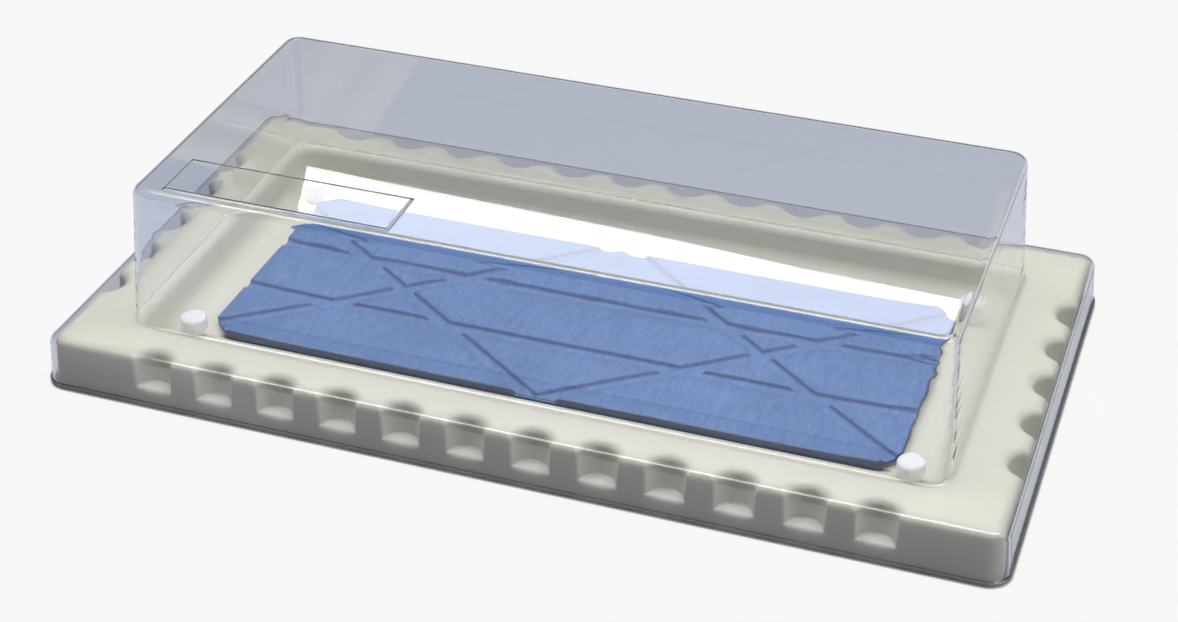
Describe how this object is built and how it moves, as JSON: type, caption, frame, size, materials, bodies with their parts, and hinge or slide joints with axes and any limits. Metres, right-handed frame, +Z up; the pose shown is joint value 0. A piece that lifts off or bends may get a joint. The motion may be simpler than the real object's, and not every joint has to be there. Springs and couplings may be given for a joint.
{
  "type": "dissecting tray",
  "caption": "Laboratory dissecting tray: a scalloped plastic pan with a grooved flexible pad held between corner pegs, under a clear domed cover that lifts off.",
  "frame": {"origin": "on the table, under the centre of the tray", "axes": "+X along the long side, +Y towards the back, away from the cover's blank panel, +Z up"},
  "size_m": [0.374, 0.1982, 0.0777],
  "materials": {
    "pan_plastic": "satin formed plastic, warm white",
    "clear_sheet": "clear glossy formed sheet with a faint smoky blue tint",
    "pad_vinyl": "matt flexible vinyl with a finely brushed surface",
    "peg_plastic": "satin white moulded plastic"
  },
  "bodies": {
    "pan": {"pan": "pan_plastic"},
    "cover": {"cover": "clear_sheet"},
    "pad": {"pad": "pad_vinyl"},
    "peg_front_left": {"peg_front_left": "peg_plastic"},
    "peg_front_right": {"peg_front_right": "peg_plastic"},
    "peg_back_left": {"peg_back_left": "peg_plastic"},
    "peg_back_right": {"peg_back_right": "peg_plastic"}
  },
  "joints": [
    {"name": "cover_lift", "type": "slide", "parent": "pan", "child": "cover", "axis": [0, 0, 1], "range_m": [0, 0.12]},
    {"name": "pad_lift", "type": "slide", "parent": "pan", "child": "pad", "axis": [0, 0, 1], "range_m": [0, 0.03]},
    {"name": "peg_front_left_pull", "type": "slide", "parent": "pan", "child": "peg_front_left", "axis": [0, 0, 1], "range_m": [0, 0.02]},
    {"name": "peg_front_right_pull", "type": "slide", "parent": "pan", "child": "peg_front_right", "axis": [0, 0, 1], "range_m": [0, 0.02]},
    {"name": "peg_back_left_pull", "type": "slide", "parent": "pan", "child": "peg_back_left", "axis": [0, 0, 1], "range_m": [0, 0.02]},
    {"name": "peg_back_right_pull", "type": "slide", "parent": "pan", "child": "peg_back_right", "axis": [0, 0, 1], "range_m": [0, 0.02]}
  ]
}
